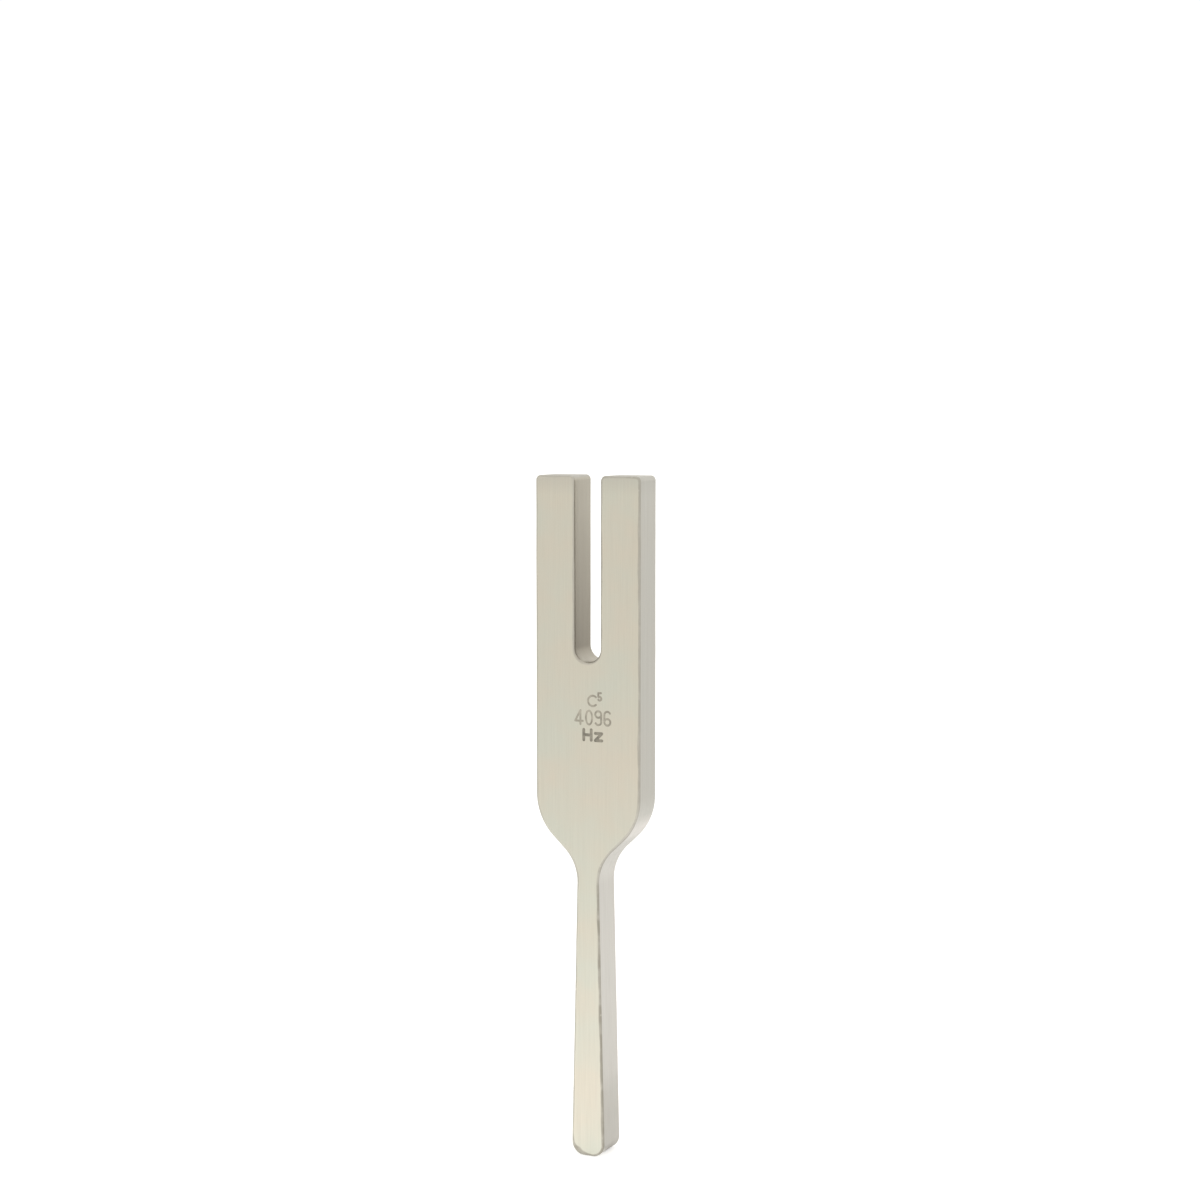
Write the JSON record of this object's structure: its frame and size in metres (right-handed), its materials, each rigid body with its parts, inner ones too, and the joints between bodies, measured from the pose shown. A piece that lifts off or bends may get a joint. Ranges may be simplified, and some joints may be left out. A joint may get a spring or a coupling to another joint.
{
  "type": "tuning fork",
  "caption": "Flat-bar steel tuning fork: square tines on a block yoke with sloped shoulders, a flat tapered stem, and engraved note and frequency marks.",
  "frame": {"origin": "middle of the flat end of the stem's foot, where the fork is pressed on a soundboard", "axes": "+Z from the foot up to the tine tips, +X across the tines to the right tine, -Y out of the marked face"},
  "size_m": [0.023, 0.008, 0.1382],
  "materials": {
    "satin_nickel": "satin, matt-nickel plated steel with fine grinding lines",
    "mark_fill": "matt dark fill in engraved recesses"
  },
  "bodies": {
    "handle": {"stem": "satin_nickel", "yoke": "satin_nickel", "pitch_mark": "mark_fill", "frequency_mark": "mark_fill", "unit_mark": "mark_fill"},
    "left_prong": {"left_tine": "satin_nickel"},
    "right_prong": {"right_tine": "satin_nickel"}
  },
  "joints": [
    {"name": "left_tine_bend", "type": "hinge", "parent": "handle", "child": "left_prong", "pos_m": [-0.00717, 0, 0.10375], "axis": [0, 1, 0], "range_deg": [-0.1, 0.1], "stiffness_Nm_per_rad": 0.3},
    {"name": "right_tine_bend", "type": "hinge", "parent": "handle", "child": "right_prong", "pos_m": [0.00717, 0, 0.10375], "axis": [0, 1, 0], "range_deg": [-0.1, 0.1], "stiffness_Nm_per_rad": 0.3}
  ],
  "couplings": [
    {"joint": "right_tine_bend", "follows": "left_tine_bend", "ratio": -1}
  ]
}
